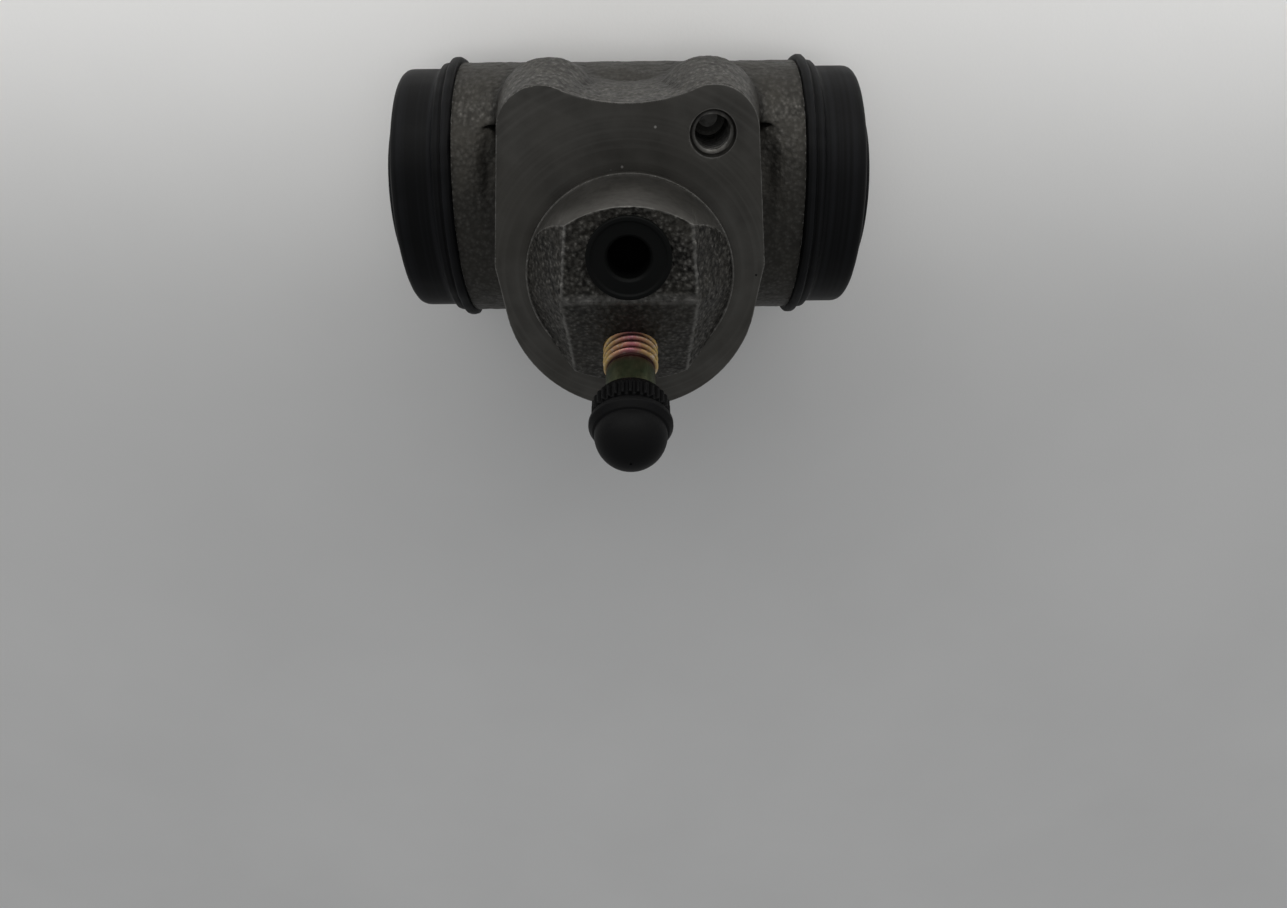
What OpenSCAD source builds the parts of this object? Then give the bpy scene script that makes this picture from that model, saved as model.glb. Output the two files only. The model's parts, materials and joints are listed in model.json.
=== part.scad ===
// Wheel cylinder of a drum brake: a double-ended hydraulic cylinder on a cast mounting pad.
// Frame: origin at the pilot's centre on the mounting face, +X along the bore,
// +Y towards the two lobes, +Z out of the mounting face. All sizes in millimetres.

/* [Barrel] */
// Outside diameter of the cast barrel
barrel_d = 40; // [38:0.5:46]
// Length of the cast barrel between the two boot spigots
barrel_l = 53; // [46:1:70]
// Diameter of the bore
bore_d = 28.6; // [24:0.1:30]
// Diameter of the turned spigot that carries each boot
spigot_d = 34; // [33:0.1:37]
// Length of each spigot
spigot_l = 5.6; // [4.5:0.1:8]
// Depth of the boot groove in the spigot
groove_depth = 1; // [0.5:0.1:1.2]
// Width of the boot groove in the spigot
groove_w = 2.2; // [1.5:0.1:2.6]
// Distance of the boot groove from the barrel's end
groove_inset = 0.9; // [0.5:0.1:1.4]
// Chamfer at each mouth of the bore
bore_chamfer = 0.6; // [0.2:0.1:1]

/* [Mounting pad] */
// Height of the mounting face above the bore axis
pad_height = 25.2; // [23:0.1:32]
// Offset of the bore axis from the pilot's centre
bore_offset = 6.2; // [3:0.1:8]
// Radius of each lobe
lobe_r = 6.5; // [5:0.1:8]
// Distance of each lobe from the middle
lobe_x = 11.85; // [10:0.05:14]
// Distance of the lobes from the pilot's centre
lobe_y = 20.55; // [19:0.05:24]
// Depth of the lobes' widest place below the mounting face
lobe_depth = 14; // [10:0.5:18]
// Spread of each lobe from the mounting face to its widest place
lobe_spread = 1.6; // [0.5:0.1:2.5]
// Depth of the hollow between the lobes
valley_depth = 2.3; // [1:0.1:4]
// Radius of the pad's round end
round_r = 19.25; // [18:0.05:21]
// Offset of the round end's centre below the pilot's centre
round_drop = 3.25; // [2:0.05:5]
// Half width of the pad at its widest place
pad_half_w = 20.2; // [19.8:0.1:22]
// Height of the widest place above the pilot's centre
shoulder_y = 1.8; // [0:0.1:4]
// Radius of the corner at the widest place
shoulder_r = 6; // [4:0.1:8]
// Half width over the two reliefs in the barrel beside the pad
relief_half_w = 21.9; // [21:0.1:24]
// Height of the reliefs' upper end above the pilot's centre
relief_y = 19.4; // [16:0.1:21]
// Drop of the reliefs' floor below the barrel's surface
relief_drop = 2.7; // [1:0.1:4]
// Thickness of the pad's rim at the round end
rim_t = 9; // [6:0.5:12]

/* [Fixing hole] */
// Core diameter of the fixing thread
fixing_d = 5; // [4:0.1:6]
// Depth of the fixing thread
fixing_depth = 11; // [8:0.5:12]
// Mouth diameter of the fixing hole's countersink
fixing_mouth_d = 6.5; // [6.2:0.1:7.5]

/* [Pilot boss] */
// Diameter of the machined pilot
pilot_d = 31.2; // [30:0.1:33]
// Height of the pilot's land above the mounting face
land_h = 1.2; // [0.8:0.1:2]
// Step from the land in to the round wall above it
land_step = 0.25; // [0.2:0.05:0.5]
// Height of the boss above the mounting face
boss_h = 16.7; // [14:0.1:20]
// Half width of the boss's front at its top
front_top_w = 8; // [7:0.1:9]
// Half width of the boss's front at the crease
front_crease_w = 9.3; // [8:0.1:10]
// Height of the crease above the pilot's centre
crease_y = 2.6; // [1:0.1:3]
// Slope of the bleeder's facet
facet_angle = 34; // [28:1:40]
// Half width of the facet at its lower end
facet_low_w = 8.4; // [7:0.1:9.5]

/* [Inlet port] */
// Distance of the port above the pilot's centre
port_y = 8.65; // [8.2:0.05:9.5]
// Core diameter of the port's thread
port_d = 9; // [8:0.1:9.5]
// Depth of the port's thread below its lead-in
port_thread_l = 10; // [8:0.5:12]
// Diameter of the plain lead-in at the port's mouth
lead_d = 10.4; // [10:0.1:10.8]
// Depth of the lead-in
lead_depth = 4; // [3:0.1:5]
// Diameter of the drilling from the port to the bore
port_passage_d = 3; // [2:0.1:4]
// Diameter of the plug's flange
plug_d = 11.3; // [11:0.1:12]
// Thickness of the plug's flange
plug_flange_t = 0.9; // [0.6:0.1:1.5]
// Diameter of the plug's blind hole
plug_hole_d = 5.7; // [4:0.1:7]
// Thickness of the plug's floor
plug_floor_t = 0.8; // [0.5:0.1:1.2]

/* [Bleeder] */
// Place of the bleed screw on its facet, from the pilot's centre
bleeder_y = -7.2; // [-8:0.1:-6.5]
// Lean of the bleed screw away from the lobes
bleeder_tilt = 20; // [18:1:24]
// Diameter of the bleed screw's thread
bleeder_d = 8; // [7:0.1:9]
// Thread that shows above the facet
bleeder_show = 5.1; // [4:0.1:7]
// Thread below the facet
bleeder_thread_l = 13; // [10:0.5:14]
// Diameter of the plain shank
shank_d = 7; // [6:0.1:7]
// Length of the shank up to the hexagon
shank_l = 7.3; // [6:0.1:10]
// Hexagon across its flats
hex_af = 7; // [6:0.1:7.2]
// Height of the hexagon
hex_h = 3.6; // [3:0.1:5]
// Diameter of the nipple's barb
nipple_d = 6; // [5:0.1:6.4]
// Length of the nipple
nipple_l = 3.4; // [3:0.1:4]
// Drilling along the bleed screw
bleed_hole_d = 2; // [1.5:0.1:2.5]
// Cross drilling above the bleed screw's seat
cross_hole_d = 1.6; // [1:0.1:2]
// Depth of the bleed screw's thread
thread_depth = 0.6; // [0.4:0.05:0.9]
// Height of the nipple's barb
barb_h = 0.6; // [0.3:0.1:0.9]
// Drilling from the bleeder's seat to the bore
bleed_passage_d = 2.5; // [2:0.1:3]

/* [Bleeder cap] */
// Diameter of the cap's ribbed collar
cap_collar_d = 10.8; // [10.4:0.1:12]
// Diameter of the cap's raised ring
cap_ring_d = 11.5; // [11.2:0.1:12.5]
// Diameter of the cap's dome
cap_dome_d = 9.9; // [9.6:0.1:10.6]
// Length of the collar from the mouth to the ring
cap_collar_l = 4; // [3:0.1:5]
// Height of the ring up to the dome
cap_ring_h = 2.3; // [1.8:0.1:3]
// Height of the ring's widest band
cap_band_h = 0.6; // [0.3:0.1:0.9]
// Radius of each rib on the collar
cap_rib_r = 0.35; // [0.2:0.05:0.45]
// Number of ribs round the collar
cap_ribs = 32; // [18:1:34]
// Cover of the cap over the end of the shank
cap_cover = 2.1; // [1.5:0.1:3]

/* [Dust boots] */
// Diameter of the boot's wall
boot_d = 38.3; // [37:0.1:39]
// Diameter of the large bead at the barrel
bead_d = 42; // [41:0.1:44]
// Diameter of the small bead beside it
small_bead_d = 39.4; // [39.2:0.1:40.6]
// Radius of the large bead's section
bead_r = 0.95; // [0.7:0.05:1.1]
// Radius of the small bead's section
small_bead_r = 0.75; // [0.6:0.05:0.9]
// Distance between the middles of the two beads
bead_pitch = 1.85; // [1.6:0.05:2.2]
// Length of the boot from the barrel to its shoulder
boot_l = 9.6; // [8:0.1:12]
// Radius of the boot's shoulder
boot_shoulder_r = 1.6; // [1:0.1:3]
// Diameter of the raised nose
nose_d = 26; // [22:0.5:30]
// Height of the raised nose
nose_h = 1.7; // [1:0.1:3]
// Thickness of the boot's end
boot_t = 1.5; // [1.2:0.1:2]
// Diameter of the push rod's hole in the boot
rod_hole_d = 12.4; // [12.2:0.1:14]

/* [Pistons, seals and spring] */
// Length of each piston
piston_l = 16; // [12:0.5:18]
// Diameter of the push rod's socket
socket_d = 12; // [9:0.1:12]
// Depth of the socket's straight wall
socket_l = 8; // [5:0.5:9]
// Thickness of a cup seal's web
cup_web_t = 2.2; // [1.5:0.1:3]
// Length of a cup seal over its lip
cup_l = 4.8; // [4:0.1:6]
// Thickness of a cup seal's lip at its edge
cup_lip_t = 1.2; // [0.8:0.1:2]
// Thickness of an expander's sheet
expander_t = 0.8; // [0.5:0.1:1.2]
// Mean diameter of the spring
spring_d = 16; // [12:0.5:18]
// Diameter of the spring's wire
wire_d = 1.4; // [1:0.1:1.8]
// Active turns of the spring
spring_turns = 4; // [3:0.5:5]

/* [Hidden] */
$fn = 96;
// Radial gap of what slides in the bore and turns in the thread
slide_gap = 0.05;
// Gap between pieces that rest against each other
rest_gap = 0.05;
// Gap between the piston and the boot
boot_gap = 0.3;
// Overlap of a cutting tool past the face that it cuts
cut = 1;
// Depth at which the pad's straight flanks lie inside the arcs that they join
flank_inset = 0.02;
tool_half = 60;
barrel_half = barrel_l / 2;
spigot_end = barrel_half + spigot_l;
spigot_r = spigot_d / 2;
groove_at = barrel_half + groove_inset;
// Least wall round the bore under the boot groove
bore_wall = 0.9;
groove_floor_r = max(spigot_r - groove_depth, bore_d / 2 + bore_wall);
pilot_r = pilot_d / 2;
lobe = [lobe_x, lobe_y];
shoulder = [pad_half_w - shoulder_r, shoulder_y];
round_end = [0, -round_drop];
valley_y = lobe_y + lobe_r - valley_depth;
// Radius of the hollow that is tangent to both lobes
valley_rise = valley_y - lobe_y;
valley_r = (lobe_x * lobe_x + valley_rise * valley_rise - lobe_r * lobe_r) / (2 * (lobe_r - valley_rise));
valley = [0, valley_y + valley_r];
hull_margin = 0.9;
hull_skin = 0.05;
facet_low_y = -pilot_r - hull_margin;
function facet_z(y) = boss_h - (crease_y - y) * tan(facet_angle);
lead_floor_z = boss_h - lead_depth;
thread_floor_z = lead_floor_z - port_thread_l;
cone_l = (bleeder_d - bleed_passage_d) / 2;
// Land round the bleed passage at the screw's tip
cross_land = 0.3;
seat_top = -bleeder_thread_l - cut;
hex_at = bleeder_show + shank_l;
nipple_at = hex_at + hex_h;
bleeder_top = nipple_at + nipple_l;
hex_corner_d = hex_af / cos(30);
cap_bore_d = hex_corner_d + 2 * slide_gap;
cap_at = hex_at - cap_cover;
cap_ring_at = cap_at + cap_collar_l;
cap_dome_at = cap_ring_at + cap_ring_h;
cap_bore_top = nipple_at + rest_gap;
// Slope at the cap's mouth
cap_rim = 0.9;
// Small edges of the cap
cap_edge = 0.4;
// Gap between the ribs' ends and the slopes beside them
rib_gap = 0.1;
cap_ribs_end = cap_ring_at - 2 * cap_edge - rib_gap;
nipple_room_top = bleeder_top + rest_gap;
boot_end = barrel_half + boot_l;
boot_inside = boot_end - boot_t;
piston_out = boot_inside - boot_gap;
piston_in = piston_out - piston_l;
cup_r = bore_d / 2 - slide_gap / 2;
cup_in = piston_in - rest_gap;
web_in = cup_in - cup_web_t;
lip_in = cup_in - cup_l;
expander_out = web_in - rest_gap;
expander_in = expander_out - expander_t;
spring_half = expander_in - rest_gap;

iron = [0.29, 0.28, 0.26];
black_rubber = [0.07, 0.07, 0.075];
aluminium = [0.7, 0.7, 0.72];
zinc = [0.72, 0.6, 0.38];
spring_steel = [0.5, 0.5, 0.52];

// Places children on the bore axis, with their Z turned along +X
module on_bore() {
    translate([0, bore_offset, -pad_height]) rotate([0, 90, 0]) children();
}

// Places children on the bleed screw's axis, at the facet
module on_bleeder() {
    translate([0, bleeder_y, facet_z(bleeder_y)]) rotate([bleeder_tilt, 0, 0]) children();
}

// Draws children, made for the +X end, at one end: side is 1 or -1
module at_end(side) {
    mirror([side < 0 ? 1 : 0, 0, 0]) children();
}

// Unit normal of the outer tangent from circle a to circle b, on the right of the way from a to b
function tangent_normal(a, ra, b, rb) =
    let (d = b - a, turn = atan2(d[1], d[0]) + acos((ra - rb) / norm(d)))
    [cos(turn), sin(turn)];

function mirrored(points) = [for (i = [len(points) - 1:-1:0]) [-points[i][0], points[i][1]]];

// Outline of the mounting pad: two lobes, two shoulders and a round end, joined by tangents
module pad_outline() {
    lobe_in = lobe_r - flank_inset;
    shoulder_in = shoulder_r - flank_inset;
    round_in = round_r - flank_inset;
    upper = tangent_normal(lobe, lobe_in, shoulder, shoulder_in);
    lower = tangent_normal(shoulder, shoulder_in, round_end, round_in);
    to_valley = (valley - lobe) / norm(valley - lobe);
    side = [lobe + (lobe_in - 2 * flank_inset) * to_valley, lobe + lobe_in * upper,
            shoulder + shoulder_in * upper, shoulder + shoulder_in * lower, round_end + round_in * lower];
    difference() {
        union() {
            polygon(concat(side, mirrored(side)));
            translate(round_end) circle(r = round_r);
            for (s = [-1, 1]) {
                translate([s * lobe[0], lobe[1]]) circle(r = lobe_r);
                translate([s * shoulder[0], shoulder[1]]) circle(r = shoulder_r);
            }
        }
        translate(valley) circle(r = valley_r + flank_inset);
    }
}

// Cast lobes, which spread from the face to their widest place and draw in again to the bore axis
module lobes() {
    face_r = lobe_r + flank_inset;
    for (s = [-1, 1]) translate([s * lobe_x, lobe_y, -lobe_depth]) {
        cylinder(r1 = lobe_r + lobe_spread, r2 = face_r, h = lobe_depth);
        translate([0, 0, lobe_depth - pad_height])
            cylinder(r1 = face_r, r2 = lobe_r + lobe_spread, h = pad_height - lobe_depth);
    }
}

// Pad block from the face down to the bore axis, with the underside of its round end sloped to the barrel
module pad_block() {
    low = round_end[1] - round_r;
    barrel_side = bore_offset - barrel_d / 2;
    slope = atan2(pad_height - rim_t, barrel_side - low);
    difference() {
        translate([0, 0, -pad_height]) linear_extrude(pad_height) pad_outline();
        translate([0, low, -rim_t]) rotate([-slope, 0, 0])
            translate([-tool_half, -tool_half, -2 * tool_half])
                cube([2 * tool_half, 3 * tool_half, 2 * tool_half]);
    }
}

// Cast tower inside the pilot: a front face, the bleeder's sloped facet and flanks that spread to the pad
module boss_tower() {
    top_y = pilot_r + hull_margin;
    hull() {
        translate([0, 0, -hull_margin]) cylinder(r = pilot_r + hull_margin / 2, h = hull_skin, $fn = 48);
        translate([0, 0, boss_h - hull_skin]) linear_extrude(hull_skin)
            polygon([[front_top_w, top_y], [front_crease_w, crease_y],
                     [-front_crease_w, crease_y], [-front_top_w, top_y]]);
        translate([-facet_low_w, facet_low_y, facet_z(facet_low_y) - hull_skin])
            cube([2 * facet_low_w, hull_skin, hull_skin]);
    }
}

// Turned land on the pad, with the tower above it
module pilot_boss() {
    translate([0, 0, -cut]) cylinder(r = pilot_r, h = land_h + cut);
    intersection() {
        translate([0, 0, -cut]) cylinder(r = pilot_r - land_step, h = boss_h + cut);
        boss_tower();
    }
}

module barrel() {
    on_bore() {
        cylinder(d = barrel_d, h = barrel_l, center = true);
        difference() {
            cylinder(d = spigot_d, h = 2 * spigot_end, center = true);
            for (s = [-1, 1]) translate([0, 0, s * (groove_at + groove_w / 2)]) difference() {
                cylinder(d = spigot_d + 2 * cut, h = groove_w, center = true);
                cylinder(r = groove_floor_r, h = groove_w + cut, center = true);
            }
        }
    }
}

module bore_cut() {
    on_bore() {
        cylinder(d = bore_d, h = 2 * (spigot_end + cut), center = true);
        for (s = [0, 180]) rotate([s, 0, 0]) translate([0, 0, spigot_end - bore_chamfer])
            cylinder(d1 = bore_d, d2 = bore_d + 4 * bore_chamfer, h = 2 * bore_chamfer);
    }
}

// Reliefs in the barrel along the pad's flanks, deepest under the lobes and running out at the crown
module relief_cut() {
    low = bore_offset - relief_drop;
    difference() {
        translate([-relief_half_w, low, -pad_height]) cube([2 * relief_half_w, relief_y - low, pad_height]);
        translate([0, 0, -pad_height - cut]) linear_extrude(pad_height + 2 * cut) pad_outline();
        translate([0, -relief_drop, 0]) on_bore() cylinder(d = barrel_d, h = barrel_l, center = true);
    }
}

module fixing_cut() {
    mouth = (fixing_mouth_d - fixing_d) / 2;
    translate([lobe_x, lobe_y, 0]) {
        translate([0, 0, -fixing_depth]) cylinder(d = fixing_d, h = fixing_depth + cut);
        translate([0, 0, -fixing_depth - fixing_d / 4]) cylinder(d1 = 0, d2 = fixing_d, h = fixing_d / 4);
        translate([0, 0, -mouth]) cylinder(d1 = fixing_d, d2 = fixing_mouth_d + 2 * cut, h = mouth + cut);
    }
}

module port_cut() {
    translate([0, port_y, 0]) {
        translate([0, 0, lead_floor_z]) cylinder(d = lead_d, h = lead_depth + cut);
        translate([0, 0, thread_floor_z]) cylinder(d = port_d, h = port_thread_l + cut);
        translate([0, 0, -pad_height]) cylinder(d = port_passage_d, h = pad_height + thread_floor_z + cut);
    }
}

module bleeder_cut() {
    on_bleeder() {
        translate([0, 0, seat_top]) cylinder(d = bleeder_d, h = tool_half);
        translate([0, 0, seat_top - cone_l]) cylinder(d1 = bleed_passage_d, d2 = bleeder_d, h = cone_l);
        translate([0, 0, -pad_height]) cylinder(d = bleed_passage_d, h = pad_height + seat_top);
    }
}

module cylinder_body() {
    color(iron) difference() {
        union() {
            barrel();
            pad_block();
            lobes();
            pilot_boss();
        }
        bore_cut();
        relief_cut();
        fixing_cut();
        port_cut();
        bleeder_cut();
    }
}

// Half section of a boot: x is the radius, y the distance from the bore's middle
module boot_section() {
    wall_r = boot_d / 2;
    bead = bead_d / 2 - bead_r - spigot_r;
    small_bead = small_bead_d / 2 - small_bead_r - spigot_r;
    nose_r = nose_d / 2;
    nose_round = nose_h / 2;
    inner_nose_r = nose_r - boot_t;
    shoulder_at = boot_end - boot_shoulder_r;
    bead_at = barrel_half + bead_r;
    small_bead_at = bead_at + bead_pitch;
    difference() {
        union() {
            translate([0, barrel_half]) square([wall_r, boot_l - boot_shoulder_r]);
            translate([0, shoulder_at - cut]) square([wall_r - boot_shoulder_r, boot_shoulder_r + cut]);
            translate([wall_r - boot_shoulder_r, shoulder_at]) circle(r = boot_shoulder_r);
            translate([spigot_r, barrel_half]) square([bead, 2 * bead_r]);
            translate([bead_d / 2 - bead_r, bead_at]) circle(r = bead_r);
            translate([small_bead_d / 2 - small_bead_r, small_bead_at]) circle(r = small_bead_r);
            translate([spigot_r, small_bead_at - small_bead_r / 2]) square([small_bead, small_bead_r]);
            translate([0, barrel_half]) square([spigot_r + boot_t, spigot_l + boot_gap + boot_t]);
            translate([0, boot_end - cut]) square([nose_r - nose_round, nose_h + cut]);
            translate([0, boot_end - cut]) square([nose_r, nose_round + cut]);
            translate([nose_r - nose_round, boot_end + nose_round]) circle(r = nose_round);
        }
        translate([-cut, barrel_half - cut]) square([spigot_r + cut, spigot_l + boot_gap + cut]);
        translate([-cut, barrel_half]) square([bore_d / 2 + cut, boot_inside - barrel_half]);
        translate([-cut, boot_inside - cut]) square([inner_nose_r + cut, nose_h + cut]);
        translate([-cut, boot_inside]) square([rod_hole_d / 2 + cut, boot_t + nose_h + cut]);
    }
    translate([groove_floor_r + slide_gap, groove_at + slide_gap])
        square([spigot_r - groove_floor_r + cut, groove_w - 2 * slide_gap]);
}

module dust_boot(side) {
    color(black_rubber) at_end(side) on_bore() rotate_extrude() boot_section();
}

module piston(side) {
    edge = 0.5;
    r = bore_d / 2 - slide_gap;
    color(aluminium) at_end(side) on_bore() difference() {
        rotate_extrude() polygon([[0, piston_in], [r - edge, piston_in], [r, piston_in + edge],
                                  [r, piston_out - edge], [r - edge, piston_out], [0, piston_out]]);
        translate([0, 0, piston_out - socket_l]) cylinder(d = socket_d, h = socket_l + cut);
        translate([0, 0, piston_out - socket_l - socket_d / 4])
            cylinder(d1 = socket_d / 3, d2 = socket_d, h = socket_d / 4);
    }
}

module cup_seal(side) {
    color(black_rubber) at_end(side) on_bore() rotate_extrude()
        polygon([[0, cup_in], [cup_r - expander_t, cup_in], [cup_r, cup_in - expander_t], [cup_r, lip_in],
                 [cup_r - cup_lip_t, lip_in], [cup_r - 2 * cup_lip_t, web_in], [0, web_in]]);
}

module cup_expander(side) {
    root_r = cup_r - 2 * cup_lip_t - 2 * rest_gap;
    lip_r = cup_r - cup_lip_t - 2 * rest_gap;
    color(spring_steel) at_end(side) on_bore() rotate_extrude()
        polygon([[0, expander_out], [root_r, expander_out], [lip_r, lip_in],
                 [lip_r - expander_t, lip_in], [root_r - expander_t, expander_in], [0, expander_in]]);
}

// Height along the spring after t turns: one dead turn at each end, even pitch between
function spring_height(t) =
    let (dead = wire_d * 1.05, span = 2 * spring_half - wire_d, pitch = (span - 2 * dead) / spring_turns)
    t < 1 ? t * dead : t > spring_turns + 1 ? span - (spring_turns + 2 - t) * dead : dead + (t - 1) * pitch;

module return_spring() {
    steps = 20;
    sides = 8;
    rings = steps * (spring_turns + 2);
    points = [for (i = [0:rings]) let (t = i / steps) for (k = [0:sides - 1])
        let (a = 360 * t, b = 360 * k / sides, r = spring_d / 2 + wire_d / 2 * cos(b))
        [r * cos(a), r * sin(a), spring_height(t) - spring_half + wire_d / 2 + wire_d / 2 * sin(b)]];
    walls = [for (i = [0:rings - 1]) for (k = [0:sides - 1])
        let (n = (k + 1) % sides, a = i * sides, b = a + sides)
        each [[a + k, a + n, b + n], [a + k, b + n, b + k]]];
    ends = [[for (k = [sides - 1:-1:0]) k], [for (k = [0:sides - 1]) rings * sides + k]];
    color(spring_steel) on_bore() polyhedron(points, concat(walls, ends), convexity = 10);
}

module bleeder_screw() {
    r = bleeder_d / 2 - slide_gap;
    shank_r = shank_d / 2;
    tip_r = bleed_passage_d / 2 + cross_land;
    seat = seat_top + 3 * rest_gap;
    relief_r = r - thread_depth;
    thread_from = -bleeder_thread_l + cross_hole_d;
    neck_r = nipple_d / 2 - barb_h;
    barb_at = nipple_at + nipple_l / 2;
    color(zinc) on_bleeder() difference() {
        union() {
            rotate_extrude() polygon([[0, seat - (r - tip_r)], [tip_r, seat - (r - tip_r)],
                [relief_r, seat - thread_depth], [relief_r, thread_from], [r, thread_from + thread_depth],
                [r, bleeder_show - (r - shank_r)], [shank_r, bleeder_show], [shank_r, hex_at],
                [neck_r, hex_at], [neck_r, barb_at - barb_h], [nipple_d / 2, barb_at],
                [neck_r, bleeder_top], [0, bleeder_top]]);
            translate([0, 0, hex_at]) cylinder(d = hex_corner_d, h = hex_h, $fn = 6);
        }
        translate([0, 0, seat + cross_land]) cylinder(d = bleed_hole_d, h = bleeder_top - seat);
        translate([0, 0, seat + cross_hole_d]) rotate([90, 0, 0])
            cylinder(d = cross_hole_d, h = 4 * r, center = true);
    }
}

// Half section of the cap's outside: x is the radius, y the distance from the facet
module cap_section() {
    collar_r = cap_collar_d / 2;
    ring_r = cap_ring_d / 2;
    dome_r = cap_dome_d / 2;
    wall_r = collar_r - cap_rib_r;
    neck_r = wall_r - cap_edge;
    band_at = cap_ring_at + cap_edge;
    polygon([[0, cap_at], [collar_r - cap_rim, cap_at], [wall_r, cap_at + cap_rim], [wall_r, cap_ribs_end],
             [neck_r, cap_ribs_end + cap_edge], [neck_r, cap_ring_at - cap_edge / 2],
             [ring_r - cap_edge, cap_ring_at], [ring_r, band_at], [ring_r, band_at + cap_band_h],
             [dome_r - rib_gap, cap_dome_at - cap_edge / 2], [0, cap_dome_at - cap_edge / 2]]);
    intersection() {
        translate([0, cap_dome_at]) circle(r = dome_r);
        translate([0, cap_dome_at - cap_edge]) square([2 * dome_r, 2 * dome_r]);
    }
}

module bleeder_cap() {
    rib_at = cap_at + cap_rim + rib_gap;
    rib_l = cap_ribs_end - rib_gap - rib_at;
    color(black_rubber) on_bleeder() difference() {
        union() {
            rotate_extrude() cap_section();
            for (i = [0:cap_ribs - 1]) rotate(360 * i / cap_ribs)
                translate([cap_collar_d / 2 - cap_rib_r, 0, rib_at])
                    cylinder(r = cap_rib_r, h = rib_l, $fn = 16);
        }
        translate([0, 0, cap_at - cut]) cylinder(d = cap_bore_d, h = cap_bore_top - cap_at + cut);
        translate([0, 0, cap_bore_top - cut])
            cylinder(d = nipple_d + 4 * slide_gap, h = nipple_room_top - cap_bore_top + cut);
    }
}

module inlet_port_plug() {
    stem_l = lead_depth - 6 * rest_gap;
    flange_edge = 0.3;
    color(black_rubber) translate([0, port_y, boss_h]) difference() {
        rotate_extrude() polygon([[0, -stem_l], [lead_d / 2 - slide_gap - flange_edge, -stem_l],
            [lead_d / 2 - slide_gap, -stem_l + flange_edge], [lead_d / 2 - slide_gap, rest_gap],
            [plug_d / 2, rest_gap], [plug_d / 2, plug_flange_t - flange_edge],
            [plug_d / 2 - flange_edge, plug_flange_t], [0, plug_flange_t]]);
        translate([0, 0, plug_floor_t - stem_l]) cylinder(d = plug_hole_d, h = stem_l + plug_flange_t + cut);
    }
}

cylinder_body();
dust_boot(-1);  // left_dust_boot
dust_boot(1);  // right_dust_boot
piston(-1);  // left_piston
piston(1);  // right_piston
cup_seal(-1);  // left_cup_seal
cup_seal(1);  // right_cup_seal
cup_expander(-1);  // left_cup_expander
cup_expander(1);  // right_cup_expander
return_spring();
bleeder_screw();
bleeder_cap();
inlet_port_plug();
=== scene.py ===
"""Looks of a wheel cylinder: rough casting, machined faces, rubber boots, plated bleed screw and its cap."""
import itertools
import json
import math

import bmesh
import bpy
import numpy as np
from mathutils import Matrix, Vector, noise
from mathutils.kdtree import KDTree


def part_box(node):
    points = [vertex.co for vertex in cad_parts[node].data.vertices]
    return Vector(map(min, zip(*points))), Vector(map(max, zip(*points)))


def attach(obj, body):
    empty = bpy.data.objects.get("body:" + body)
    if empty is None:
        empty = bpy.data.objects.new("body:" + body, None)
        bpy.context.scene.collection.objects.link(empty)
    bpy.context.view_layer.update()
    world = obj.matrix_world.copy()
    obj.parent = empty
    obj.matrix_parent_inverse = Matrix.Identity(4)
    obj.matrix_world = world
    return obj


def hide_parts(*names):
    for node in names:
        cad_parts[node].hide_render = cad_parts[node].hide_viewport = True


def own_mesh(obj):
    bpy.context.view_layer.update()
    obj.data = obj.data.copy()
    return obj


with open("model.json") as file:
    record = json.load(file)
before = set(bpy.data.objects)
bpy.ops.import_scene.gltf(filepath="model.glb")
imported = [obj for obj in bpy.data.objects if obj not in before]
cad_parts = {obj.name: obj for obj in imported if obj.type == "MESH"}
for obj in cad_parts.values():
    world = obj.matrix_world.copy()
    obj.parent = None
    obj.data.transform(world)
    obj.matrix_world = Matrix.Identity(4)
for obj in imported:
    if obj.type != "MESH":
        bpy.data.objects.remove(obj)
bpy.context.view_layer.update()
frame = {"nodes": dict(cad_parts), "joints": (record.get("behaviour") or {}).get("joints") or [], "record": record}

# Sizes are in millimetres, in the part's frame, and MM turns them into metres
MM = 0.001
TAU = 2 * math.pi
TINY = 0.01
SOLID_WELD = 0.001
SEAM_WELD = 0.002
SIDES = {"left": -1, "right": 1}
MOUNTS = {m["name"]: m for m in frame["record"]["mounts"]}
JOINTS = {j["name"]: j for j in frame["joints"]}


def box_mm(node):
    low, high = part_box(node)
    return np.array(low) / MM, np.array(high) / MM


# Places read from the frame
_, body_high = box_mm("cylinder_body")
piston_low, piston_high = box_mm("right_piston")
boot_low, boot_high = box_mm("right_dust_boot")
_, spring_high = box_mm("return_spring")
BORE = (piston_low + piston_high) / 2 * (0, 1, 1)
BORE_R = (piston_high[2] - piston_low[2]) / 2
BARREL_END = boot_low[0]
BOOT_NOSE = boot_high[0]
BEAD_R = (boot_high[2] - boot_low[2]) / 2
BOSS_TOP = body_high[2]
PILOT_R = MOUNTS["pilot"]["dims"]["r_mm"]
FIXING = np.array(MOUNTS["fixing_hole"]["pos_m"]) / MM
FIXING_R = MOUNTS["fixing_hole"]["dims"]["r_mm"]
PORT = np.array(MOUNTS["inlet_port"]["pos_m"]) / MM
BLEEDER = np.array(JOINTS["bleeder_turn"]["pos_m"]) / MM
BLEEDER_AXIS = np.array(JOINTS["bleeder_turn"]["axis"])
SPRING_HALF = spring_high[0]
FLOOR_Z = boot_low[2]


# Mesh helpers

def mesh_object(name, points, faces):
    """A new object from points in millimetres."""
    mesh = bpy.data.meshes.new(name)
    mesh.from_pydata((np.asarray(points) * MM).tolist(), [], faces)
    mesh.update()
    obj = bpy.data.objects.new(name, mesh)
    bpy.context.scene.collection.objects.link(obj)
    return obj


def places(obj):
    """Points of an object's mesh, in millimetres."""
    return np.array([v.co for v in obj.data.vertices]) / MM


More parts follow.
